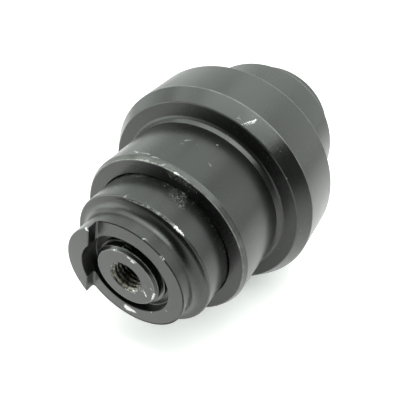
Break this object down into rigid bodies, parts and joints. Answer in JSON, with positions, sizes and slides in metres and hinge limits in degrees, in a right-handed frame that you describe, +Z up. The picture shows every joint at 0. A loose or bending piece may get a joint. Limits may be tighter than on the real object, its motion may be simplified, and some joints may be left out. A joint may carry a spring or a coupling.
{
  "type": "track roller",
  "caption": "Centre-flange track roller on a fixed shaft with tapped ends, sealed bushes and lugged end collars.",
  "frame": {"origin": "centre of the roller, on the shaft's axis, midway between the two ends", "axes": "+Y along the shaft's axis towards the far end, +Z up with the flange resting on the floor, +X to the right seen from the near end"},
  "size_m": [0.1416, 0.2136, 0.1416],
  "materials": {
    "black_paint": "satin black paint, worn on the edges",
    "shaft_steel": "ground steel, with black paint on the ends",
    "bush_bronze": "machined bronze",
    "seal_iron": "lapped hard cast iron",
    "seal_rubber": "matt nitrile rubber",
    "clip_steel": "dark phosphated spring steel"
  },
  "bodies": {
    "shaft_group": {"shaft": "shaft_steel", "near_collar": "black_paint", "far_collar": "black_paint", "near_circlip": "clip_steel", "far_circlip": "clip_steel", "near_oil_plug": "clip_steel", "far_oil_plug": "clip_steel", "near_collar_o_ring": "seal_rubber", "far_collar_o_ring": "seal_rubber", "near_fixed_seal_ring": "seal_iron", "far_fixed_seal_ring": "seal_iron", "near_fixed_seal_rubber": "seal_rubber", "far_fixed_seal_rubber": "seal_rubber"},
    "roller": {"roller_shell": "black_paint", "near_bush": "bush_bronze", "far_bush": "bush_bronze", "near_turning_seal_ring": "seal_iron", "far_turning_seal_ring": "seal_iron", "near_turning_seal_rubber": "seal_rubber", "far_turning_seal_rubber": "seal_rubber"}
  },
  "joints": [
    {"name": "roller_spin", "type": "hinge", "parent": "shaft_group", "child": "roller", "pos_m": [0, 0, 0], "axis": [0, 1, 0], "continuous": true}
  ]
}
